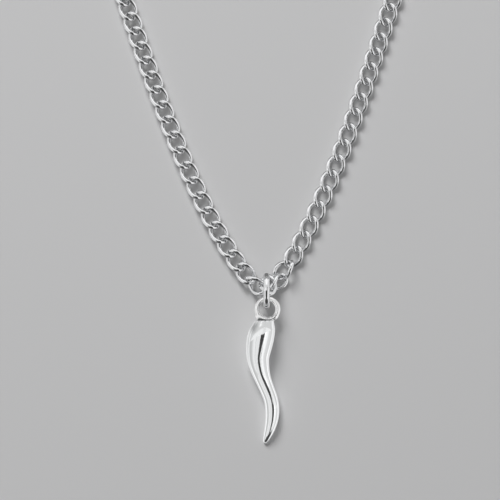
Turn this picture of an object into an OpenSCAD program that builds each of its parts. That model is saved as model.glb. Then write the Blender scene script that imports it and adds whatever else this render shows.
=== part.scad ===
// Horn pendant on a curb chain, lying on a flat surface at z = 0.
// The origin is on that surface, under the centre of the neck opening.
// +Y runs from the pendant to the clasp, +X is to the right, +Z is up.

/* [Links] */
// Thickness of the wire that the links are bent from
wire_d = 0.84; // [0.74:0.02:0.86]
// Length of a link over its ends
link_l = 5.2; // [5.1:0.05:5.5]
// Width of a link
link_w = 3.8; // [3.7:0.05:4.1]
// Thickness of a twisted link that lies flat
link_t = 2.04; // [1.98:0.02:2.3]
// Free play between two links where the pendant pulls the chain
tight_play = 0.2; // [0.18:0.02:0.3]
// Free play between two links in the rest of the chain
loose_play = 0.46; // [0.34:0.02:0.54]

/* [Necklace] */
// Radius of the round stretch that lies behind the neck
neck_r = 51; // [46:1:62]
// How many links hang tight before the chain slackens
tight_links = 10; // [6:1:16]

/* [Jump ring] */
// Outer diameter of the jump ring
ring_d = 7.2; // [7.2:0.1:8]
// Thickness of its wire
ring_wire = 1.28; // [1:0.02:1.3]

/* [Pendant] */
// Length of the horn without its loop
horn_l = 24.6; // [18:0.2:34]
// Greatest thickness of the horn
horn_d = 5.5; // [4.6:0.1:6]
// Outer diameter of the loop on top of the horn
loop_d = 5.12; // [5:0.02:6]
// Thickness of the loop
loop_wire = 0.98; // [0.8:0.02:1]
// Height of the loop's middle above the surface
loop_z = 2.9; // [2.7:0.1:3.2]

/* [Clasp] */
// Length of the barrel clasp without its eyes
clasp_l = 11; // [8:0.5:16]
// Diameter of the barrel
clasp_d = 3.8; // [3.8:0.1:5]
// Outer diameter of the eye at each end of the clasp
eye_d = 3.7; // [3.5:0.1:3.8]
// Thickness of the eye's wire
eye_wire = 0.8; // [0.7:0.05:0.85]

/* [Hidden] */

silver = [0.80, 0.81, 0.82];
round_fn = 64;

// A link's wire is swept round ten stations with five sides
stations = 10;
wire_sides = 5;
link_a = (link_l - wire_d) / 2;
link_b = (link_w - wire_d) / 2 / cos(180 / stations);
link_h = (link_t - wire_d) / 2;
link_z = link_t / 2;

tight_step = link_l - 2 * wire_d - tight_play;
loose_step = link_l - 2 * wire_d - loose_play;
// How sharply the step changes from tight to loose
slack_power = 6;

// Columns of a link's pose: place, then heading, pitch and roll in degrees
HEAD = 3;
PITCH = 4;
ROLL = 5;

// The five links that gather at the jump ring, placed from its centre in shares of a link's length.
// The third one hangs along the pull and holds the jump ring and both strands.
hang_links = [
    [-0.805, 0.675, 0.22, -55, -4, 2],
    [-0.435, 0.245, 0.335, -39, -9, 40],
    [0.04, 0.225, 0.355, -77, -42, -8],
    [0.435, 0.335, 0.3, 34, 32, 45],
    [0.675, 0.825, 0.245, 40, -11, -29]
];
// The first three belong to the left strand
hang_split = 3;

// Control points of each strand's bow, from its first flat link to its straight run,
// measured from the jump ring's centre
left_bow = [[-6.1, 6.1], [-14.6, 18.5], [-22, 39.6], [-28.4, 58.4]];
right_bow = [[5.35, 6.9], [13.6, 21.4], [20, 41.9], [25.2, 58.4]];
bow_steps = 14;
arc_step = 3;

ring_r = (ring_d - ring_wire) / 2;
ring_in_r = ring_d / 2 - ring_wire;
loop_r = (loop_d - loop_wire) / 2;
loop_in_r = loop_d / 2 - loop_wire;
// The loop hangs a little short of the jump ring's inner face
loop_play = 0.3;
loop_x = 0.2;
loop_y = -(ring_in_r - loop_play + loop_in_r);
// The loop is soldered this deep into the horn's flat top, and this far right of its middle
loop_sink = 0.36;
loop_off = 0.34;
horn_x = loop_x - loop_off;
horn_y = loop_y - loop_d / 2 + loop_sink;

// Columns of the horn's table: distance down the horn and sideways swing of its axis
// in shares of horn_l, and thickness in shares of horn_d
ALONG = 0;
SWING = 1;
GIRTH = 2;
horn_rows = [
    [0, 0, 0.66],
    [0.03, -0.005, 0.74],
    [0.075, -0.018, 0.87],
    [0.15, -0.04, 0.98],
    [0.235, -0.059, 0.92],
    [0.315, -0.063, 0.81],
    [0.4, -0.047, 0.69],
    [0.48, -0.022, 0.58],
    [0.56, 0.01, 0.53],
    [0.64, 0.04, 0.51],
    [0.725, 0.053, 0.51],
    [0.805, 0.049, 0.47],
    [0.885, 0.031, 0.38],
    [0.95, 0.008, 0.26],
    [0.99, -0.006, 0.15],
    [1, -0.01, 0.06]
];
rows_between = 2;
horn_sides = 16;
// The horn rests on its underside from the belly to the tip
belly = 0.15;

eye_r = (eye_d - eye_wire) / 2;
// The eyes are sunk this deep into the barrel's ends
eye_sink = 0.2;
eye_x = clasp_l / 2 + eye_r - eye_sink;
clasp_z = max(clasp_d, eye_d) / 2;
// The last link of a strand tips up, and its end passes this far below the middle of the eye
end_sag = 0.2;
end_rise = clasp_z - end_sag - link_z;
end_pitch = asin(end_rise / link_a / 2);
// Angle from the top of the neck arc to the last link
end_angle = asin((eye_x + link_a) / neck_r);
clasp_y = neck_r * cos(end_angle) + link_a * sin(end_angle);

function bezier(c, t) = pow(1 - t, 3) * c[0] + 3 * pow(1 - t, 2) * t * c[1]
    + 3 * (1 - t) * t * t * c[2] + pow(t, 3) * c[3];

// Angle off the vertical at which a bow runs out into its straight run
function run_lean(bow) = atan2(abs(bow[3].x - bow[2].x), bow[3].y - bow[2].y);

// Unit normal of a straight run, pointing at the neck opening
function run_normal(bow, side) = [-side * cos(run_lean(bow)), sin(run_lean(bow))];

// Point that lies at distances r1 and r2 along the normals n1 and n2
function meeting_point(n1, r1, n2, r2) =
    [r1 * n2.y - r2 * n1.y, n1.x * r2 - n2.x * r1] / (n1.x * n2.y - n1.y * n2.x);

left_normal = run_normal(left_bow, -1);
right_normal = run_normal(right_bow, 1);
// Both straight runs touch the neck arc, which settles where the jump ring lies
hang = -meeting_point(left_normal, neck_r + left_normal * left_bow[3],
    right_normal, neck_r + right_normal * right_bow[3]);

// Centreline of a strand from its first flat link to its last one
function strand_path(bow, side) = concat(
    [for (k = [0 : bow_steps]) hang + bezier(bow, k / bow_steps)],
    [for (a = [-run_lean(bow) : arc_step : 90 - end_angle]) neck_r * [side * cos(a), sin(a)]],
    [neck_r * [side * sin(end_angle), cos(end_angle)]]
);

// Distance along a path at each of its points
function path_sums(path) = [
    for (i = 0, s = 0; i < len(path); i = i + 1,
        s = s + (i < len(path) ? norm(path[i] - path[i - 1]) : 0)) s
];

// Distances from a strand's first link to each link, stretched to end at the clasp
function tension(i) = 1 / (1 + pow(i / tight_links, slack_power));
function link_step(i) = loose_step + (tight_step - loose_step) * tension(i);
function raw_steps(n) = [for (i = 0, s = 0; i <= n; s = s + link_step(i), i = i + 1) s];
function link_count(length, i = 0, s = 0) =
    s + link_step(i) / 2 > length ? i : link_count(length, i + 1, s + link_step(i));
function link_places(length) =
    let (n = link_count(length), raw = raw_steps(n)) [for (s = raw) s * length / raw[n]];

// Poses of a strand's links
function strand_poses(bow, side) =
    let (
        path = strand_path(bow, side),
        sums = path_sums(path),
        xs = [for (i = [0 : len(path) - 1]) [sums[i], path[i].x]],
        ys = [for (i = [0 : len(path) - 1]) [sums[i], path[i].y]],
        places = link_places(sums[len(sums) - 1]),
        last = len(places) - 1,
        reach = loose_step / 2
    )
    [for (i = [0 : last])
        let (
            s = places[i],
            ahead = [lookup(s + reach, xs), lookup(s + reach, ys)],
            behind = [lookup(s - reach, xs), lookup(s - reach, ys)],
            way = ahead - behind,
            tip = i == last ? 1 : 0
        )
        [lookup(s, xs), lookup(s, ys), link_z + tip * end_rise / 2,
            atan2(way.y, way.x), -tip * end_pitch, 0]
    ];

function hang_pose(row) = [
    hang.x + row.x * link_l, hang.y + row.y * link_l, row.z * link_l,
    row[HEAD], row[PITCH], row[ROLL]
];

function turned_x(v, a) = [v.x, v.y * cos(a) - v.z * sin(a), v.y * sin(a) + v.z * cos(a)];
function turned_y(v, a) = [v.x * cos(a) + v.z * sin(a), v.y, v.z * cos(a) - v.x * sin(a)];
function turned_z(v, a) = [v.x * cos(a) - v.y * sin(a), v.x * sin(a) + v.y * cos(a), v.z];
function posed(v, pose) = [pose.x, pose.y, pose.z]
    + turned_z(turned_y(turned_x(v, pose[ROLL]), pose[PITCH]), pose[HEAD]);

function unit(v) = v / norm(v);

// Centreline of a twisted curb link: an oval whose sides cross over and under
function link_axis(t) = [link_a * cos(t), link_b * sin(t), -link_h * sin(2 * t)];
function link_way(t) = unit([-link_a * sin(t), link_b * cos(t), -2 * link_h * cos(2 * t)]);
function link_out(t) =
    let (way = link_way(t), out = [cos(t) / link_a, sin(t) / link_b, 0])
    unit(out - (out * way) * way);

// One ring of points round the wire of a link for each station
link_points = [
    for (k = [0 : stations - 1])
        let (t = 360 * k / stations, out = link_out(t), up = cross(link_way(t), out))
        for (j = [0 : wire_sides - 1])
            let (a = 360 * (j + 0.5) / wire_sides)
            link_axis(t) + wire_d / 2 * (cos(a) * out + sin(a) * up)
];

// Faces of the band between two rings of points, given the number of each ring's first point
function band(here, next, sides) = [
    for (j = [0 : sides - 1], half = [0, 1])
        let (j2 = (j + 1) % sides)
        half == 0 ? [here + j, next + j, next + j2] : [here + j, next + j2, here + j2]
];

// Loose links at the given poses
module chain(poses) {
    polyhedron(
        points = [for (pose = poses, v = link_points) posed(v, pose)],
        faces = [for (i = [0 : len(poses) - 1], k = [0 : stations - 1])
            let (first = i * stations * wire_sides, next = (k + 1) % stations)
            each band(first + k * wire_sides, first + next * wire_sides, wire_sides)]
    );
}

module ring(r, wire) {
    rotate_extrude($fn = round_fn)
        translate([r, 0])
            circle(d = wire, $fn = round_fn);
}

module chain_left() {
    poses = concat([for (i = [0 : hang_split - 1]) hang_pose(hang_links[i])],
        strand_poses(left_bow, -1));
    color(silver) chain(poses);
}

module chain_right() {
    poses = concat([for (i = [hang_split : len(hang_links) - 1]) hang_pose(hang_links[i])],
        strand_poses(right_bow, 1));
    color(silver) chain(poses);
}

// The jump ring stands on edge between the chain and the loop
module jump_ring() {
    color(silver)
        translate([hang.x, hang.y, ring_d / 2])
            rotate([0, 90, 0])
                ring(ring_r, ring_wire);
}

// Smooth value between the rows of a table
function between(table, column, i, t) =
    let (
        last = len(table) - 1,
        p0 = table[max(i - 1, 0)][column],
        p1 = table[i][column],
        p2 = table[min(i + 1, last)][column],
        p3 = table[min(i + 2, last)][column]
    )
    p1 + t / 2 * (p2 - p0 + t * (2 * p0 - 5 * p1 + 4 * p2 - p3 + t * (3 * (p1 - p2) + p3 - p0)));

horn_steps = (len(horn_rows) - 1) * rows_between;
function horn_value(column, k) =
    between(horn_rows, column, floor(k / rows_between), k / rows_between % 1);
function horn_radius(k) = horn_value(GIRTH, k) * horn_d / 2;
function horn_height(along, r) =
    along < belly ? horn_d / 2 + (loop_z - horn_d / 2) * (1 - along / belly) : r;
function horn_axis(k) =
    let (along = horn_value(ALONG, k))
    [
        hang.x + horn_x + horn_value(SWING, k) * horn_l,
        hang.y + horn_y - along * horn_l,
        horn_height(along, horn_radius(k))
    ];

// Round sections square to the horn's curved axis
module horn() {
    axis = [for (k = [0 : horn_steps]) horn_axis(k)];
    points = [for (k = [0 : horn_steps])
        let (
            way = unit(axis[min(k + 1, horn_steps)] - axis[max(k - 1, 0)]),
            out = unit(cross([0, 0, 1], way)),
            up = cross(way, out)
        )
        for (j = [0 : horn_sides - 1])
            let (a = 360 * j / horn_sides)
            axis[k] + horn_radius(k) * (cos(a) * out + sin(a) * up)];
    walls = [for (k = [0 : horn_steps - 1])
        each band(k * horn_sides, (k + 1) * horn_sides, horn_sides)];
    top = [for (j = [0 : horn_sides - 1]) j];
    tip = [for (j = [horn_sides - 1 : -1 : 0]) horn_steps * horn_sides + j];
    polyhedron(points = points, faces = concat([top, tip], walls));
}

module horn_pendant() {
    color(silver) {
        horn();
        translate([hang.x + loop_x, hang.y + loop_y, loop_z])
            ring(loop_r, loop_wire);
    }
}

// Plain barrel with an eye at each end that holds the strand's last link
module clasp() {
    chamfer = clasp_d / 5;
    half = clasp_l / 2;
    r = clasp_d / 2;
    color(silver)
        translate([0, clasp_y, clasp_z]) {
            rotate([0, 90, 0])
                rotate_extrude($fn = round_fn)
                    polygon([
                        [0, -half], [r - chamfer, -half], [r, chamfer - half],
                        [r, half - chamfer], [r - chamfer, half], [0, half]
                    ]);
            for (side = [-1, 1])
                translate([side * eye_x, 0, 0])
                    rotate([90, 0, 0])
                        ring(eye_r, eye_wire);
        }
}

chain_left();
chain_right();
jump_ring();
horn_pendant();
clasp();
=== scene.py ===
# %% [markdown]
# # A horn pendant on a curb chain
#
# A necklace of polished silver lies on a flat surface. Its chain is made of twisted oval links, a
# thick jump ring stands on edge where the two strands meet, and a curved horn hangs from it.
#
# Each step below makes one piece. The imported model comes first: it says where every piece lies, in
# metres, so nothing has to be fitted by eye.

import math

import bmesh
import bpy
import numpy as np
from mathutils import Matrix, Vector


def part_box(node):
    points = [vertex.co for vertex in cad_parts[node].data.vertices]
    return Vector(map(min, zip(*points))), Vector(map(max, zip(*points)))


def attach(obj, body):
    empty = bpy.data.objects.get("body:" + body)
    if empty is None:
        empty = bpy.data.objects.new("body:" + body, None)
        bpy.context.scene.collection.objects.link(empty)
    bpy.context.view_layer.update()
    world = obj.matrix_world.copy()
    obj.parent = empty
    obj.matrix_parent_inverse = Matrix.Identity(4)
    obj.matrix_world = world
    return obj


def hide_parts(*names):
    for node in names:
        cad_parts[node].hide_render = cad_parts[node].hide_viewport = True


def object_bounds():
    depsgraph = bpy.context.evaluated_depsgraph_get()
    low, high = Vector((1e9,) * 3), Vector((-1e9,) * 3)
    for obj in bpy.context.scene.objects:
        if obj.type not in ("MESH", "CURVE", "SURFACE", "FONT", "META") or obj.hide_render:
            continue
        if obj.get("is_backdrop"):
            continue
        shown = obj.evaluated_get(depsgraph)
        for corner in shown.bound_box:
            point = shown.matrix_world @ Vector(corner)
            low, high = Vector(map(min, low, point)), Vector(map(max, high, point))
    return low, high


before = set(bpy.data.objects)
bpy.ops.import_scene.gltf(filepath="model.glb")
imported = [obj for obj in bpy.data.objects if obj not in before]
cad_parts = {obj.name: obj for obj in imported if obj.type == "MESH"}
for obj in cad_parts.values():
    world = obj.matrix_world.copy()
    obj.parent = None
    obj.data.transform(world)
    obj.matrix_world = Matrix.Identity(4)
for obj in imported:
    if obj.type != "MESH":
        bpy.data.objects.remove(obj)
cad_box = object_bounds()
MM = 0.001

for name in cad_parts:
    low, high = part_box(name)
    print(name, "from", [round(v / MM, 2) for v in low], "to", [round(v / MM, 2) for v in high], "mm")

# %% [markdown]
# ## The camera
#
# The necklace is looked at from straight above. A long lens far away keeps the links the same size
# all over the picture. The view takes in 100 mm, with the pendant below the middle.

# %% Camera
VIEW_MIDDLE = Vector((-0.865, -132.184, 0)) * MM
VIEW_WIDTH = 100 * MM
VIEW_HEIGHT = 2.0
SENSOR = 36

bpy.ops.object.camera_add(location=VIEW_MIDDLE + Vector((0, 0, VIEW_HEIGHT)), rotation=(0, 0, 0))
camera = bpy.context.object
camera.name = "camera"
camera.data.sensor_width = SENSOR
camera.data.lens = SENSOR * VIEW_HEIGHT / VIEW_WIDTH
camera.data.clip_start = 0.1
camera.data.clip_end = 20
bpy.context.scene.camera = camera
print("lens", round(camera.data.lens), "mm")

# %% [markdown]
# ## Nodes in a script
#
# The room's light and the metal's finish are both made of shader nodes. These helpers add a node and
# give its inputs their values in one line, and set the nodes out on a grid, so that they can be read
# in Blender's node editor too.

# %% Add a node
COLUMN_NODES = 8


def feed(tree, socket, value):
    """Gives an input its value. Where the value is a node's output, it is linked."""
    if isinstance(value, bpy.types.NodeSocket):
        tree.links.new(value, socket)
    else:
        socket.default_value = value


def add_node(tree, kind, **inputs):
    """Adds a node at the next free place of the grid and feeds its inputs by name."""
    column, row = divmod(len(tree.nodes), COLUMN_NODES)
    node = tree.nodes.new(kind)
    node.location = (column * 220 - 2000, 300 - row * 190)
    for key, value in inputs.items():
        feed(tree, node.inputs[key.replace("_", " ")], value)
    return node


# %% Do sums with nodes
def calculate(tree, operation, first, second=0.0, third=0.0):
    """A math node on numbers or on other nodes' outputs. Returns its output."""
    node = add_node(tree, "ShaderNodeMath")
    node.operation = operation
    for socket, value in zip(node.inputs, (first, second, third)):
        feed(tree, socket, value)
    return node.outputs[0]


def times(tree, first, second):
    """The product of two numbers."""
    return calculate(tree, "MULTIPLY", first, second)


def leave_out(tree, value, mask):
    """The value where the mask is 0, and nothing where it is 1."""
    return times(tree, value, calculate(tree, "SUBTRACT", 1.0, mask))


# %% Fade and mix with nodes
def fade(tree, value, start, end, low=0.0, high=1.0):
    """A number that goes smoothly from low to high while the value goes from start to end."""
    node = add_node(tree, "ShaderNodeMapRange", Value=value, From_Min=start, From_Max=end,
                    To_Min=low, To_Max=high)
    node.interpolation_type = "SMOOTHSTEP"
    return node.outputs["Result"]


# Where a mix node keeps its two inputs and its output, for each kind of value
MIX_SOCKETS = {"FLOAT": (2, 3, 0), "RGBA": (6, 7, 2)}


def mix(tree, factor, first, second, kind="FLOAT"):
    """A number or colour that is the first at factor 0 and the second at factor 1."""
    node = add_node(tree, "ShaderNodeMix")
    node.data_type = kind
    first_input, second_input, output = MIX_SOCKETS[kind]
    feed(tree, node.inputs[0], factor)
    feed(tree, node.inputs[first_input], first)
    feed(tree, node.inputs[second_input], second)
    return node.outputs[output]


# %% [markdown]
# ## The studio
#
# Polished metal shows little of its own colour. What one sees is the room in it, so the room is
# designed as for a photo of jewellery: large soft screens to the left, to the right and behind, with
# a dark strip left open overhead and towards the viewer. That strip is the dark line down the middle
# of the horn, and its edges are sharp where the metal is smooth.
#
# The screens could be area lights. Here they are drawn on the world instead, as brightness by
# direction, because then they meet without gaps, and each can fade slowly from one end to the other.
# A band of light below the horizon stands for the pale floor's glow on the wires' undersides.

# %% Directions in the room
world = bpy.data.worlds.new("room")
bpy.context.scene.world = world
world.use_nodes = True
room = world.node_tree
DEG = math.radians(1)

way = add_node(room, "ShaderNodeTexCoord").outputs["Generated"]
parts = add_node(room, "ShaderNodeSeparateXYZ", Vector=way).outputs
across, back, up = parts["X"], parts["Y"], parts["Z"]
sideways = calculate(room, "ABSOLUTE", across)
# How far a direction leans from straight up, to the right and away from the viewer
lean_right = calculate(room, "ARCTAN2", across, up)
lean_away = calculate(room, "ARCTAN2", back, up)
print("directions take", len(room.nodes), "nodes")

# %% Screens to the left and the right
# Each is brightest at its upper edge and fades towards the horizon
SCREEN_EDGE = 34 * DEG
SOFT_EDGE = 3 * DEG
LEFT_LEVELS = (0.88, 0.54)
RIGHT_LEVELS = (1.02, 0.72)

left = fade(room, lean_right, -SCREEN_EDGE, -SCREEN_EDGE - SOFT_EDGE)
left_level = fade(room, lean_right, -48 * DEG, -78 * DEG, *LEFT_LEVELS)
right = fade(room, lean_right, SCREEN_EDGE, SCREEN_EDGE + SOFT_EDGE)
right_level = fade(room, lean_right, 52 * DEG, 72 * DEG, *RIGHT_LEVELS)
sides = calculate(room, "ADD", times(room, left, left_level), times(room, right, right_level))

# Towards the viewer the screens end, and all is dark
before = calculate(room, "MULTIPLY_ADD", sideways, -1.1, times(room, back, -1.0))
viewer = times(room, fade(room, lean_away, -50 * DEG, -62 * DEG), fade(room, before, -0.04, 0.04))
sides = leave_out(room, sides, viewer)
print("with the side screens", len(room.nodes), "nodes")

# %% The screen behind
# One wide screen joins the other two. It has a dark gap to the right, and a brighter window low down
FAR_LEVELS = (0.9, 0.66)
WINDOW_LEVEL = 0.36

gap = times(room, fade(room, lean_right, 8 * DEG, 11 * DEG), fade(room, lean_away, 31 * DEG, 29 * DEG))
gap = times(room, gap, fade(room, lean_right, 36 * DEG, 33 * DEG))
far = leave_out(room, fade(room, lean_away, 2 * DEG, 6.5 * DEG), gap)
far_level = fade(room, lean_away, 20 * DEG, 32 * DEG, *FAR_LEVELS)
beside = calculate(room, "MULTIPLY_ADD", back, 0.8, times(room, sideways, -1.0))
window = times(room, fade(room, lean_away, 38 * DEG, 48 * DEG), fade(room, beside, -0.06, 0.1))
far_level = calculate(room, "MULTIPLY_ADD", window, WINDOW_LEVEL, far_level)
screens = mix(room, far, sides, far_level)
print("with the one behind", len(room.nodes), "nodes")

# %% The glow below the horizon
# It is strongest to the left and the right, just under the horizon
side_on = calculate(room, "MULTIPLY_ADD", calculate(room, "ABSOLUTE", back), -0.8, sideways)
band = times(room, fade(room, side_on, -0.1, 0.15, 0.3, 0.9), fade(room, up, -0.5, -0.3, 0.45, 1.0))
band = times(room, band, fade(room, up, -0.03, -0.2, 0.62, 1.0))
whole = mix(room, fade(room, up, -0.02, 0.0), band, screens)
print("with the glow", len(room.nodes), "nodes")

# %% Show the room to the metal alone
# Only reflections see the screens. For all else the room is nearly dark
DARKEST = 0.03

brightness = calculate(room, "ADD", whole, DARKEST)
reflected = add_node(room, "ShaderNodeLightPath").outputs["Is Glossy Ray"]
shown = calculate(room, "ADD", times(room, brightness, reflected), DARKEST)
background = room.nodes["Background"]
feed(room, background.inputs["Strength"], shown)
feed(room, background.inputs["Color"], (1, 1, 1, 1))
bpy.context.scene.view_settings.view_transform = "Standard"
print("the whole room has", len(room.nodes), "nodes")

# %% [markdown]
# ## The floor and its lamps
#
# The floor is plain and pale, so that nothing competes with the metal. Two lamps that the metal
# doesn't reflect light it: one behind, which gives the soft shadows, and a wide one overhead, which
# lifts them. The floor is hidden from reflections too, because so near a pale floor would wash out
# the edges of every wire.

# %% Lamps for the floor
def lamp(name, azimuth, elevation, distance, size, watts):
    """A soft light for the floor, aimed at the middle of the view."""
    turn, rise = azimuth * DEG, elevation * DEG
    away = Vector((math.cos(turn) * math.cos(rise), math.sin(turn) * math.cos(rise), math.sin(rise)))
    data = bpy.data.lights.new(name, "AREA")
    data.size = size
    data.energy = watts
    light = bpy.data.objects.new(name, data)
    light.location = VIEW_MIDDLE + away * distance
    light.rotation_euler = away.to_track_quat("Z", "Y").to_euler()
    light.visible_camera = False
    light.visible_glossy = False
    bpy.context.scene.collection.objects.link(light)
    print(name, "lamp,", size, "m wide, at", [round(v, 2) for v in light.location], "m")


lamp("key", 108, 38, 1.6, 0.7, 27)
lamp("fill", 250, 75, 2.0, 1.8, 9)

# %% Floor
bpy.ops.mesh.primitive_plane_add(size=12, location=(0, 0, 0))
floor = bpy.context.object
floor.name = "floor"
floor.visible_glossy = False
floor_finish = bpy.data.materials.new("plain_floor")
floor_finish.use_nodes = True
floor_shader = floor_finish.node_tree.nodes["Principled BSDF"]
floor_shader.inputs["Base Color"].default_value = (0.6, 0.6, 0.605, 1)
floor_shader.inputs["Roughness"].default_value = 0.28
floor_shader.inputs["IOR"].default_value = 1.9
floor.data.materials.append(floor_finish)
floor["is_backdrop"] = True
print("floor", floor.dimensions.x, "m wide")

# %% [markdown]
# ## Working by hand in a script
#
# In Blender an operator acts on whatever is selected, so each step starts with nothing selected and
# then picks its own piece. These helpers do what a modeller does with the mouse: pick a piece, open
# it in edit mode, close it again, and put its place into its mesh. The last one measures a piece.

# %% Pick, edit and settle a piece
def pick(*pieces):
    """Selects these pieces alone. The last one is the active piece."""
    bpy.ops.object.select_all(action="DESELECT")
    for piece in pieces:
        piece.select_set(True)
    bpy.context.view_layer.objects.active = pieces[-1]


def edit(piece):
    """Opens a piece in edit mode with all of its mesh selected."""
    pick(piece)
    bpy.ops.object.mode_set(mode="EDIT")
    bpy.ops.mesh.select_all(action="SELECT")


def leave_edit():
    """Goes back to object mode."""
    bpy.ops.object.mode_set(mode="OBJECT")


def place_in_mesh(piece):
    """Puts a piece's place, turn and size into its mesh."""
    pick(piece)
    bpy.ops.object.transform_apply(location=True, rotation=True, scale=True)


def settle(piece):
    """Places a piece, merges its doubled points, turns its faces outwards and shades it smooth."""
    place_in_mesh(piece)
    edit(piece)
    bpy.ops.mesh.remove_doubles(threshold=1e-7)
    bpy.ops.mesh.normals_make_consistent(inside=False)
    leave_edit()
    bpy.ops.object.shade_smooth()


# %% Measure a piece
def report(piece):
    """Prints a piece's size and count of triangles, and how many edges lack a face on both sides."""
    mesh = bmesh.new()
    mesh.from_mesh(piece.data)
    open_edges = sum(not e.is_manifold for e in mesh.edges)
    triangles = sum(len(f.verts) - 2 for f in mesh.faces)
    volume = mesh.calc_volume(signed=True) / MM**3
    mesh.free()
    size = [round(v / MM, 2) for v in piece.dimensions]
    print(piece.name, size, "mm,", triangles, "triangles,", open_edges, "open edges,",
          round(volume, 2), "mm3")


# %% [markdown]
# ## One link
#
# A curb link is a ring of round wire, bent oval and then twisted about its long way, so that the
# chain lies flat. It is made here in the same order: a curve circle is pulled to an oval, the curve
# is twisted, and the wire's thickness is put on last. That keeps the wire round all the way, which
# twisting a finished tube would not.

# %% Bend and twist the wire
LINK_LENGTH = 4.4 * MM
LINK_WIDTH = 3.04 * MM
LINK_WIRE = 0.82 * MM
LINK_TWIST = 86

bpy.ops.object.select_all(action="DESELECT")
bpy.ops.curve.primitive_bezier_circle_add(radius=1, location=(0, 0, 0))
link = bpy.context.object
link.name = "one_link"
bpy.ops.object.mode_set(mode="EDIT")
bpy.ops.curve.select_all(action="SELECT")
bpy.ops.curve.subdivide(number_cuts=2)
bpy.ops.curve.handle_type_set(type="ALIGNED")
bpy.ops.transform.resize(value=(LINK_LENGTH / 2, LINK_WIDTH / 2, MM))
leave_edit()
link.data.resolution_u = 3
link.data.bevel_depth = LINK_WIRE / 2
link.data.bevel_resolution = 3
twist = link.modifiers.new("Twist", "SIMPLE_DEFORM")
twist.deform_method = "TWIST"
twist.deform_axis = "X"
twist.angle = -math.radians(LINK_TWIST)
twist.use_apply_on_spline = True
pick(link)
bpy.ops.object.convert(target="MESH")
link = bpy.context.object
settle(link)
report(link)

# %% [markdown]
# ## Painted shade and tarnish
#
# The inside of a link, where it faces the link's own hole, is painted a little darker than its
# outside: partly tarnish, which no polishing wheel reaches, and partly painted shade in the hole. Such
# places are stored on the mesh itself, as a number at each point, and the materials read it. A texture
# could do the same, but would need an unwrapped mesh and an image.

# %% Paint shade and tarnish on the link's inside
def paint(piece, name, rule):
    """Stores a number from 0 to 1 at each point of a piece, for its material to read."""
    layer = piece.data.attributes.new(name, "FLOAT", "POINT")
    layer.data.foreach_set("value", [min(max(rule(v), 0), 1) for v in piece.data.vertices])


def faces_inward(vertex):
    """How much painted shade and tarnish a point of the link gets: more where it looks at the link's
    own hole, up to 0.7.
    """
    outward = Vector((vertex.co.x / LINK_LENGTH**2, vertex.co.y / LINK_WIDTH**2,
                      vertex.co.z / LINK_WIDTH**2)).normalized()
    return -1.6 * vertex.normal.dot(outward) - 0.9


# The layer "inside" holds painted shade in the link's hole, with some tarnish there
paint(link, "inside", faces_inward)
print("painted", len(link.data.vertices), "points of the link")

# %% [markdown]
# ## Where the links lie
#
# The chain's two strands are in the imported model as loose, simple links. A copy of each strand is
# taken apart into its links, and each one gives its place: its middle, its long way and its width.
# A link looks the same when it is turned half round about any of its three ways, so it doesn't
# matter which end is called the front.

# %% Read each link's place
def link_places(node):
    """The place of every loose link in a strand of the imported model, as matrices."""
    copy = node.copy()
    copy.data = node.data.copy()
    bpy.context.scene.collection.objects.link(copy)
    edit(copy)
    bpy.ops.mesh.remove_doubles(threshold=1e-6)
    bpy.ops.mesh.separate(type="LOOSE")
    leave_edit()
    places = []
    for loose in list(bpy.context.selected_objects):
        points = np.array([v.co for v in loose.data.vertices])
        middle = points.mean(axis=0)
        ways = np.linalg.svd(points - middle)[2]
        ways[2] = np.cross(ways[0], ways[1])
        turn = Matrix([Vector(way) for way in ways]).transposed()
        places.append(Matrix.Translation(Vector(middle)) @ turn.to_4x4())
        bpy.data.objects.remove(loose)
    return places


# %% Lay the chain
def lay_chain(name, node_name):
    """Lays a copy of the link at each place of a strand and joins them into one piece."""
    copies = []
    for place in link_places(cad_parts[node_name]):
        copy = bpy.data.objects.new(name, link.data.copy())
        copy.matrix_world = place
        bpy.context.scene.collection.objects.link(copy)
        copies.append(copy)
    pick(*copies)
    bpy.ops.object.join()
    chain = bpy.context.object
    chain.name = name
    settle(chain)
    print(name, "has", len(copies), "links")
    report(chain)
    return chain


chain_left = lay_chain("chain_strand_left", "chain_left")
chain_right = lay_chain("chain_strand_right", "chain_right")
bpy.data.objects.remove(link)

# %% [markdown]
# ## The jump ring
#
# The jump ring is a thick wire bent round, with the fine saw cut where it was opened and closed.
# It is spun rather than made as a ring in one go, because a spin can stop short of the full turn.
# The cut lies low on the far side, where the camera doesn't see it.

# %% Spin the jump ring
low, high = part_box("jump_ring")
ring_middle = (low + high) / 2
ring_wire = (high.x - low.x) / 2
ring_bend = (high.y - low.y) / 2 - ring_wire
CUT_ANGLE = math.radians(-62)
CUT_WIDTH = 0.05 * MM

bpy.ops.object.select_all(action="DESELECT")
outward = Vector((0, math.cos(CUT_ANGLE), math.sin(CUT_ANGLE)))
bpy.ops.mesh.primitive_circle_add(
    vertices=20,
    radius=ring_wire,
    fill_type="NGON",
    location=ring_middle + outward * ring_bend,
    rotation=(CUT_ANGLE, 0, 0),
)
jump_ring = bpy.context.object
jump_ring.name = "jump_ring_wire"
place_in_mesh(jump_ring)
edit(jump_ring)
bpy.ops.mesh.spin(
    steps=72,
    angle=math.tau - CUT_WIDTH / ring_bend,
    center=ring_middle,
    axis=(1, 0, 0),
)
leave_edit()
settle(jump_ring)
report(jump_ring)

# %% [markdown]
# ## The horn
#
# The horn is one solid casting: a round body that swings in a slow S and thins to a point. It is
# drawn out from its flat top. A round face is pushed on along a table of stations, and at each one
# it is turned to the horn's way and sized to its girth. The table holds the way down the horn, the
# swing to the side and the girth, as shares of the horn's length and greatest thickness.

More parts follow.
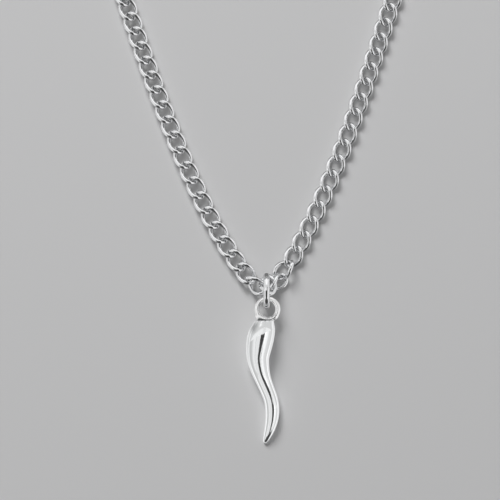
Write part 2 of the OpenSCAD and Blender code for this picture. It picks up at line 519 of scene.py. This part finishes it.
# %% The horn's table
HORN_LENGTH = 24.6 * MM
HORN_THICK = 5.5 * MM
HORN_TABLE = [
    (0, -0.0085, 0.665),
    (0.03, -0.0165, 0.76),
    (0.075, -0.0245, 0.9),
    (0.15, -0.044, 0.98),
    (0.235, -0.059, 0.92),
    (0.315, -0.063, 0.81),
    (0.4, -0.047, 0.69),
    (0.48, -0.022, 0.58),
    (0.56, 0.01, 0.53),
    (0.64, 0.04, 0.51),
    (0.725, 0.053, 0.51),
    (0.805, 0.049, 0.47),
    (0.885, 0.031, 0.38),
    (0.95, 0.008, 0.26),
    (0.99, -0.006, 0.15),
    (1, -0.01, 0.06),
]
print(len(HORN_TABLE), "rows in the table")

# %% Where the horn and its loop lie
LOOP_OUTER = 5.12 * MM
LOOP_WIRE = 0.98 * MM
LOOP_HEIGHT = 2.9 * MM
LOOP_ASIDE = 0.2 * MM
LOOP_SUNK = 0.36 * MM
HORN_ASIDE = -0.14 * MM

low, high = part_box("horn_pendant")
loop_middle = Vector((ring_middle.x + LOOP_ASIDE, high.y - LOOP_OUTER / 2, LOOP_HEIGHT))
horn_top = Vector((ring_middle.x + HORN_ASIDE, high.y - LOOP_OUTER + LOOP_SUNK, 0))
print("loop's middle", [round(v / MM, 2) for v in loop_middle], "mm")
print("horn's top", [round(v / MM, 2) for v in horn_top], "mm")

# %% Stations down the horn
# From its belly on, as a share of its length, the horn lies on the surface
BELLY = 0.15
STATIONS_BETWEEN = 3


def smooth_value(column, row, share):
    """A value between two rows of the horn's table, on a smooth curve through all rows."""
    last = len(HORN_TABLE) - 1
    a, b, c, d = (HORN_TABLE[min(max(row + k, 0), last)][column] for k in (-1, 0, 1, 2))
    bend = 2 * a - 5 * b + 4 * c - d + share * (3 * (b - c) + d - a)
    return b + share / 2 * (c - a + share * bend)


stations = []
for row in range(len(HORN_TABLE) - 1):
    for step in range(STATIONS_BETWEEN):
        share = step / STATIONS_BETWEEN
        stations.append([smooth_value(column, row, share) for column in range(3)])
stations.append(list(HORN_TABLE[-1]))

middles = []
radii = []
for along, swing, girth in stations:
    radius = girth * HORN_THICK / 2
    lift = HORN_THICK / 2 + (LOOP_HEIGHT - HORN_THICK / 2) * (1 - along / BELLY)
    height = lift if along < BELLY else radius
    middles.append(horn_top + Vector((swing * HORN_LENGTH, -along * HORN_LENGTH, height)))
    radii.append(radius)
print(len(stations), "stations, thickest", round(max(radii) * 2 / MM, 2), "mm")

# %% The horn's way at each station
SQUARE_PART = 0.12


def heading(k):
    """The way of the horn at a station. The top is cut square, and the turn comes in after it."""
    way = middles[min(k + 1, len(middles) - 1)] - middles[max(k - 1, 0)]
    turn = math.atan2(way.y, way.x) + math.pi / 2
    return turn * min(stations[k][0] / SQUARE_PART, 1) - math.pi / 2


turns = [math.degrees(heading(k)) + 90 for k in range(len(stations))]
print("the horn turns from", round(min(turns)), "to", round(max(turns)), "degrees")

# %% Draw the horn out
SIDES = 28
# A smoothed ring of points shrinks a little, so the cage is made that much larger
swell = 6 / (4 + 2 * math.cos(math.tau / SIDES))

bpy.ops.object.select_all(action="DESELECT")
bpy.ops.mesh.primitive_circle_add(
    vertices=SIDES,
    radius=radii[0] * swell,
    fill_type="NGON",
    location=middles[0],
    rotation=(math.pi / 2, 0, heading(0) + math.pi / 2),
)
horn = bpy.context.object
horn.name = "horn_body"
place_in_mesh(horn)
edit(horn)
for k in range(1, len(middles)):
    bpy.ops.mesh.extrude_region_move(TRANSFORM_OT_translate={"value": middles[k] - middles[k - 1]})
    growth = radii[k] / radii[k - 1]
    bpy.ops.transform.resize(value=(growth, growth, growth), center_override=middles[k])
    bpy.ops.transform.rotate(
        value=heading(k - 1) - heading(k),
        orient_axis="Z",
        center_override=middles[k],
    )
leave_edit()
report(horn)

# %% Pick edges by their place, and apply a modifier
def pick_edges(piece, rule):
    """In edit mode, selects the edges whose two ends both pass the rule."""
    bpy.ops.mesh.select_mode(type="EDGE")
    bpy.ops.mesh.select_all(action="DESELECT")
    mesh = bmesh.from_edit_mesh(piece.data)
    chosen = [e for e in mesh.edges if all(rule(v.co) for v in e.verts)]
    for edge in chosen:
        edge.select_set(True)
    bmesh.update_edit_mesh(piece.data)
    return len(chosen)


def apply_modifier(piece, kind, **settings):
    """Adds a modifier with its settings and applies it."""
    pick(piece)
    modifier = piece.modifiers.new(kind.title(), kind)
    for key, value in settings.items():
        setattr(modifier, key, value)
    bpy.ops.object.modifier_apply(modifier=modifier.name)


# %% Round the rim and smooth the horn
RIM_ROUND = 0.28 * MM
NEARLY_FLAT = 0.01 * MM

top_way = Vector((math.cos(heading(0)), math.sin(heading(0)), 0))
edit(horn)
rim = pick_edges(horn, lambda co: abs((co - middles[0]).dot(top_way)) < NEARLY_FLAT)
bpy.ops.mesh.bevel(offset=RIM_ROUND, segments=3, affect="EDGES")
leave_edit()
apply_modifier(horn, "SUBSURF", levels=1, render_levels=1)
settle(horn)
print(rim, "rim edges rounded")
report(horn)

# %% [markdown]
# ## The loop on the horn
#
# The loop is a closed ring of round wire, soldered on the horn's flat top. A torus is right for it,
# because it has no cut, and it sinks a little into the horn.

# %% Bend the loop and set it on
bpy.ops.object.select_all(action="DESELECT")
bpy.ops.mesh.primitive_torus_add(
    major_radius=(LOOP_OUTER - LOOP_WIRE) / 2,
    minor_radius=LOOP_WIRE / 2,
    major_segments=80,
    minor_segments=20,
    location=loop_middle,
)
loop = bpy.context.object
loop.name = "loop"
settle(loop)
report(loop)

# %% [markdown]
# ## The solder
#
# The solder has run along the loop's wire and filled the corner on each side. Each bead is a small
# sphere, pressed long and flat and turned along the wire, with its points moved a little at random,
# as molten metal is never quite even. A skin drawn between loop and horn would do as well, but beads
# are simple to move until the outline is right.

# %% Solder in the two corners
# Degrees round the loop, way out from its middle, and half the length of each bead
SOLDER = [(-48, 2.38 * MM, 0.9 * MM), (-139, 2.6 * MM, 0.8 * MM)]
BEAD_SHAPE = (0.4, 1, 0.46)
BEAD_UNEVEN = 0.015 * MM

beads = []
bead_middles = []
for degrees, away, half_length in SOLDER:
    angle = math.radians(degrees)
    middle = loop_middle + Vector((math.cos(angle), math.sin(angle), 0)) * away
    bpy.ops.object.select_all(action="DESELECT")
    bpy.ops.mesh.primitive_ico_sphere_add(subdivisions=3, radius=half_length, location=middle)
    bead = bpy.context.object
    bead.name = "solder_bead"
    place_in_mesh(bead)
    edit(bead)
    bpy.ops.transform.resize(value=BEAD_SHAPE, center_override=middle)
    bpy.ops.transform.rotate(value=-angle, orient_axis="Z", center_override=middle)
    bpy.ops.transform.vertex_random(offset=BEAD_UNEVEN, uniform=0.2, seed=4)
    leave_edit()
    settle(bead)
    report(bead)
    beads.append(bead)
    bead_middles.append(middle)

# %% [markdown]
# ## The clasp
#
# The clasp lies behind the neck, out of the picture. It is a plain screw barrel: two turned halves
# that meet in a fine groove, with an eye at each end. Like the horn, the barrel is drawn out from a
# round face, along a table of places and radii.

# %% The barrel's table
low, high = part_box("clasp")
clasp_middle = (low + high) / 2
BARREL = 11 * MM
BARREL_THICK = 3.8 * MM
BARREL_HALF = [
    (0, 0.93),
    (0.01, 0.93),
    (0.02, 0.975),
    (0.035, 1),
    (0.62, 1),
    (0.655, 0.985),
    (0.665, 0.94),
    (0.69, 0.94),
    (0.7, 0.985),
    (0.73, 1),
    (0.86, 1),
    (0.92, 0.93),
    (0.97, 0.78),
    (1, 0.6),
]
turned = [(-along, girth) for along, girth in reversed(BARREL_HALF)] + BARREL_HALF[1:]
print(len(turned), "places along the barrel")

# %% Turn the barrel
bpy.ops.object.select_all(action="DESELECT")
bpy.ops.mesh.primitive_circle_add(
    vertices=32,
    radius=turned[0][1] * BARREL_THICK / 2,
    fill_type="NGON",
    location=clasp_middle + Vector((turned[0][0] * BARREL / 2, 0, 0)),
    rotation=(0, math.pi / 2, 0),
)
clasp = bpy.context.object
clasp.name = "barrel_clasp"
place_in_mesh(clasp)
edit(clasp)
for (x0, r0), (x1, r1) in zip(turned, turned[1:]):
    step = Vector(((x1 - x0) * BARREL / 2, 0, 0))
    bpy.ops.mesh.extrude_region_move(TRANSFORM_OT_translate={"value": step})
    here = clasp_middle + Vector((x1 * BARREL / 2, 0, 0))
    bpy.ops.transform.resize(value=(1, r1 / r0, r1 / r0), center_override=here)
leave_edit()
apply_modifier(clasp, "SUBSURF", levels=1, render_levels=1)
settle(clasp)
report(clasp)

# %% Add the eyes
EYE_OUTER = 3.7 * MM
EYE_WIRE = 0.8 * MM
EYE_AWAY = 6.75 * MM

eyes = []
for side in (-1, 1):
    bpy.ops.object.select_all(action="DESELECT")
    bpy.ops.mesh.primitive_torus_add(
        major_radius=(EYE_OUTER - EYE_WIRE) / 2,
        minor_radius=EYE_WIRE / 2,
        major_segments=56,
        minor_segments=16,
        location=clasp_middle + Vector((side * EYE_AWAY, 0, 0)),
        rotation=(math.pi / 2, 0, 0),
    )
    eye = bpy.context.object
    settle(eye)
    eyes.append(eye)
pick(*eyes, clasp)
bpy.ops.object.join()
report(clasp)

# %% [markdown]
# ## Polishing marks
#
# Polished silver is bright, but never a perfect mirror. The polishing wheel leaves fine marks that
# run one way, and hand work leaves the surface gently wavy and some spots duller than others. A
# group of shader nodes makes all three from noise, stretched along the wheel's way for the marks.
# Every material of the necklace uses it, so it is built once and placed with other values each time.

# %% Start a group
def new_group(name, inputs, outputs):
    """An empty group of nodes. Returns it with what it is given and what it puts out."""
    tree = bpy.data.node_groups.new(name, "ShaderNodeTree")
    for key, value in inputs.items():
        socket = tree.interface.new_socket(key, in_out="INPUT", socket_type="NodeSocketFloat")
        socket.default_value = value
    for key in outputs:
        tree.interface.new_socket(key, in_out="OUTPUT", socket_type="NodeSocketFloat")
    given = add_node(tree, "NodeGroupInput")
    made = add_node(tree, "NodeGroupOutput")
    made.location = (0, 0)
    return tree, given.outputs, made.inputs


# %% A group for polishing marks
polish_marks, given, made = new_group(
    "polish_marks",
    {"Mark Scale": 2500, "Mark Depth": 0.3, "Wave Scale": 300, "Wave Depth": 1,
     "Smoothest": 0.06, "Dullest": 0.16},
    ("Roughness", "Height", "Tone"),
)
place = add_node(polish_marks, "ShaderNodeTexCoord").outputs["Object"]
drawn = add_node(polish_marks, "ShaderNodeMapping", Vector=place, Scale=(1, 0.05, 1)).outputs["Vector"]
marks = add_node(polish_marks, "ShaderNodeTexNoise", Vector=drawn, Scale=given["Mark Scale"],
                 Detail=2.0).outputs["Fac"]
waves = add_node(polish_marks, "ShaderNodeTexNoise", Vector=place, Scale=given["Wave Scale"],
                 Detail=1.0).outputs["Fac"]
tone = add_node(polish_marks, "ShaderNodeTexNoise", Vector=place, Scale=700.0, Detail=4.0,
                Roughness=0.65).outputs["Fac"]
gloss = add_node(polish_marks, "ShaderNodeMapRange", Value=tone, From_Min=0.35, From_Max=0.7,
                 To_Min=given["Smoothest"], To_Max=given["Dullest"]).outputs["Result"]
height = calculate(polish_marks, "MULTIPLY_ADD", waves, given["Wave Depth"],
                   times(polish_marks, marks, given["Mark Depth"]))
feed(polish_marks, made["Roughness"], gloss)
feed(polish_marks, made["Height"], height)
feed(polish_marks, made["Tone"], tone)
print("group", polish_marks.name, "with", len(polish_marks.nodes), "nodes")

# %% [markdown]
# ## Pits
#
# Solder and cast metal have small round pits where gas came out. Voronoi cells give their places:
# each cell has one point, a pit is what lies near it, and the cell's own random colour decides
# whether it has a pit at all. The group puts out a mask, which is 1 inside a pit.

# %% A group for pits
casting_pits, given, made = new_group("casting_pits", {"Pit Scale": 3000, "Pit Share": 0.5}, ("Mask",))
place = add_node(casting_pits, "ShaderNodeTexCoord").outputs["Object"]
cells = add_node(casting_pits, "ShaderNodeTexVoronoi", Vector=place, Scale=given["Pit Scale"]).outputs
near = fade(casting_pits, cells["Distance"], 0.34, 0.2)
lot = add_node(casting_pits, "ShaderNodeSeparateColor", Color=cells["Color"]).outputs["Red"]
chosen = calculate(casting_pits, "LESS_THAN", lot, given["Pit Share"])
feed(casting_pits, made["Mask"], times(casting_pits, near, chosen))
print("group", casting_pits.name, "with", len(casting_pits.nodes), "nodes")

# %% [markdown]
# ## The silver
#
# All silver here is one metal, and only its finish differs. So one helper builds the material, from
# the two groups and from the numbers that were painted on the piece. Where the layer named inside is
# high, the colour goes towards a dark grey as painted shade, with some tarnish on the links; in a pit
# it goes there as the pit's own colour. The marks, the waves and the pits also tip the surface a
# little, through a bump.

# %% Place a group and read a painted layer
def place_group(tree, group, values):
    """Places a group of nodes, sets its values by name, and returns what it puts out."""
    node = add_node(tree, "ShaderNodeGroup")
    node.node_tree = group
    for key, value in values.items():
        feed(tree, node.inputs[key], value)
    return node.outputs


def layer_value(tree, name):
    """The number that a painted layer holds."""
    node = add_node(tree, "ShaderNodeAttribute")
    node.attribute_name = name
    return node.outputs["Fac"]


# %% Build one silver
# The dark grey of the pits, and of the painted shade
PIT_AND_PAINTED_SHADE_GREY = (0.19, 0.196, 0.2, 1)
PIT_DEPTH = 1.5


def silver(name, marks, pits, bump_height, tarnish, bright):
    """A polished silver, darkened by painted shade where the piece's layer "inside" says so, and
    pitted where "pitted" does.
    """
    material = bpy.data.materials.new(name)
    material.use_nodes = True
    tree = material.node_tree
    polish = place_group(tree, polish_marks, marks)
    pit = place_group(tree, casting_pits, pits)["Mask"]
    pit = times(tree, pit, layer_value(tree, "pitted"))
    tone = calculate(tree, "MULTIPLY_ADD", polish["Tone"], 0.8, 0.45)
    # Painted shade from the layer "inside", plus an even tarnish, varied by the polish's tone
    tarnish_and_painted_shade = times(tree, calculate(tree, "ADD", layer_value(tree, "inside"), tarnish), tone)
    colour = mix(tree, calculate(tree, "MAXIMUM", tarnish_and_painted_shade, pit), bright, PIT_AND_PAINTED_SHADE_GREY, kind="RGBA")
    height = calculate(tree, "MULTIPLY_ADD", pit, -PIT_DEPTH, polish["Height"])
    bump = add_node(tree, "ShaderNodeBump", Height=height, Distance=bump_height)

    shader = tree.nodes["Principled BSDF"]
    feed(tree, shader.inputs["Metallic"], 1.0)
    feed(tree, shader.inputs["Base Color"], colour)
    feed(tree, shader.inputs["Roughness"], polish["Roughness"])
    feed(tree, shader.inputs["Normal"], bump.outputs["Normal"])
    print(name, "with", len(tree.nodes), "nodes")
    return material


# %% Three finishes
# The chain and the jump ring are drawn wire, the horn and the clasp are smooth castings, and the
# loop is left satin, as no wheel fits inside it
wire_silver = silver(
    "wire_silver",
    {"Mark Scale": 3000, "Mark Depth": 0.1, "Wave Scale": 900, "Wave Depth": 1,
     "Smoothest": 0.05, "Dullest": 0.12},
    {"Pit Scale": 2500, "Pit Share": 0.1},
    0.008 * MM,
    0.06,
    (0.9, 0.905, 0.915, 1),
)
cast_silver = silver(
    "cast_silver",
    {"Mark Scale": 3000, "Mark Depth": 0.06, "Wave Scale": 260, "Wave Depth": 1,
     "Smoothest": 0.05, "Dullest": 0.13},
    {"Pit Scale": 1800, "Pit Share": 0.2},
    0.03 * MM,
    0.06,
    (0.9, 0.91, 0.915, 1),
)
satin_silver = silver(
    "satin_silver",
    {"Mark Scale": 3000, "Mark Depth": 0.1, "Wave Scale": 700, "Wave Depth": 0.5,
     "Smoothest": 0.15, "Dullest": 0.3},
    {"Pit Scale": 3600, "Pit Share": 0.45},
    0.012 * MM,
    0.05,
    (0.96, 0.96, 0.96, 1),
)

# %% Put the silver on
metals = [
    (wire_silver, [chain_left, chain_right, jump_ring]),
    (cast_silver, [horn, clasp]),
    (satin_silver, [loop, *beads]),
]
for metal, pieces in metals:
    for piece in pieces:
        piece.data.materials.clear()
        piece.data.materials.append(metal)
    print(metal.name, "on", [piece.name for piece in pieces])

# %% [markdown]
# ## Soldering the loop on
#
# Soldered metal is one solid, so the horn, the loop and the two beads are united, which also clears
# away the walls that would be left inside. Solder rounds every corner that it runs into, so the points
# round the beads are smoothed. The other edges along the joint stay sharp. Then shade is painted where
# it would fall: a dark line in the crease of the joint, the left wall of the loop's hole, and a dark
# patch on the horn's shoulder, which is a painted reflection of the darker room. The pits round the
# longer bead are painted as well, as the metal's own.

# %% Unite the horn, the loop and the solder
for part in (loop, *beads):
    apply_modifier(horn, "BOOLEAN", operation="UNION", solver="EXACT", object=part,
                   material_mode="TRANSFER")
    bpy.data.objects.remove(part)
horn.name = "horn_with_loop"
report(horn)

# %% Let the solder flow
FLOW_BEYOND = 0.15 * MM
SHARP_ANGLE = math.radians(40)

edit(horn)
bpy.ops.mesh.select_all(action="DESELECT")
mesh = bmesh.from_edit_mesh(horn.data)
flowing = [v for v in mesh.verts for middle, (_, _, half_length) in zip(bead_middles, SOLDER)
           if (v.co - middle).length < half_length + FLOW_BEYOND]
for point in flowing:
    point.select_set(True)
mesh.select_flush_mode()
bmesh.update_edit_mesh(horn.data)
bpy.ops.mesh.vertices_smooth(factor=0.5, repeat=8)
leave_edit()
pick(horn)
bpy.ops.object.shade_smooth_by_angle(angle=SHARP_ANGLE)
print(len(flowing), "points smoothed")
report(horn)

# %% Paint the shade and the pits
# Where painted shade goes: the joint's crease, and a painted darker reflection on the shoulder
JOINT_PLACE = horn_top.y + 0.04 * MM
JOINT_LINE = 0.12 * MM
JOINT_FADE = 1.2 * MM
SHOULDER = Vector((-0.05, -147.65, 4.2)) * MM
SHOULDER_REACH = 1.15 * MM
SHOULDER_LONGER = 1.6
PITTED_REACH = 1.1 * MM


def painted_shade_on_horn(vertex):
    """Painted shade: the crease of the joint, the left wall of the loop's hole, and a painted darker
    reflection on the horn's shoulder.
    """
    joint = 1.6 - abs(vertex.co.y - JOINT_PLACE) / JOINT_LINE
    joint -= max(0, vertex.co.x - loop_middle.x) / JOINT_FADE
    if vertex.co.y > horn_top.y:
        way = (vertex.co - loop_middle) / (LOOP_OUTER / 2)
        wall = -vertex.normal.x * way.x * 1.6 if way.x < 0 else 0
        return max(joint, wall)
    away = vertex.co - SHOULDER
    away.y /= SHOULDER_LONGER
    return max(joint, 1.05 - away.length / SHOULDER_REACH)


def near_the_longer_bead(vertex):
    """How near a point is to the longer bead of solder, where the metal is pitted."""
    return 1.4 - (vertex.co - bead_middles[0]).length / PITTED_REACH


# The layer "inside" holds the painted shade on the horn and the loop
paint(horn, "inside", painted_shade_on_horn)
paint(horn, "pitted", near_the_longer_bead)
print("painted", len(horn.data.vertices), "points of the horn")

# %% [markdown]
# ## Cards for the horn alone
#
# In a photo studio, small cards are held close to one part of a piece, to shape its reflection
# without touching the rest. Light linking does that here: each card lights only the horn. The dark
# strip overhead is right for the thin wires and too wide for the horn, so two cards narrow it to the
# thin dark line down the horn. A third closes the line at its top, and one below lights the flanks.

# %% Cards of light
CARD_HEIGHT = 1.5
HORN_PLACE = Vector((0, -0.158, 0))


def card(name, place, size, strength, turn=0.0, from_below=False):
    """A flat light that lights the horn alone, at a place counted from the horn."""
    data = bpy.data.lights.new(name, "AREA")
    data.shape = "RECTANGLE"
    data.size, data.size_y = size
    data.energy = strength * math.pi * data.size * data.size_y
    light = bpy.data.objects.new(name, data)
    light.location = HORN_PLACE + Vector(place)
    light.rotation_euler = (math.pi if from_below else 0, 0, turn)
    light.visible_camera = False
    light.visible_diffuse = False
    bpy.context.scene.collection.objects.link(light)
    reach = bpy.data.collections.new(name + "_reach")
    reach.objects.link(horn)
    light.light_linking.receiver_collection = reach
    print(name, size, "m, as bright as", strength)


card("left_of_the_line", (-0.535, -0.8, CARD_HEIGHT), (0.99, 1.85), 0.82)
card("right_of_the_line", (0.885, -0.8, CARD_HEIGHT), (0.4, 1.9), 0.84, turn=-13 * DEG)
card("above_the_line", (0.65, 0.48, CARD_HEIGHT), (0.79, 0.78), 0.78)
card("under_the_horn", (0.003, 0, 0.00003), (0.022, 0.034), 0.4, from_below=True)

# %% [markdown]
# ## Setting the pieces in place
#
# The necklace has no joints, so every piece rides on its one body. Each piece stands for the simple
# solid that lies in its place in the imported model. The last lines print the sizes of the two boxes.

# %% Ride, replace and finish
finished = [
    (chain_left, "chain_left"),
    (chain_right, "chain_right"),
    (jump_ring, "jump_ring"),
    (horn, "horn_pendant"),
    (clasp, "clasp"),
]
for piece, node in finished:
    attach(piece, "root")
    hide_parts(node)

shown_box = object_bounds()
for label, (low, high) in (("packed model", cad_box), ("what is shown", shown_box)):
    print(label, [round((b - a) / MM, 2) for a, b in zip(low, high)], "mm")
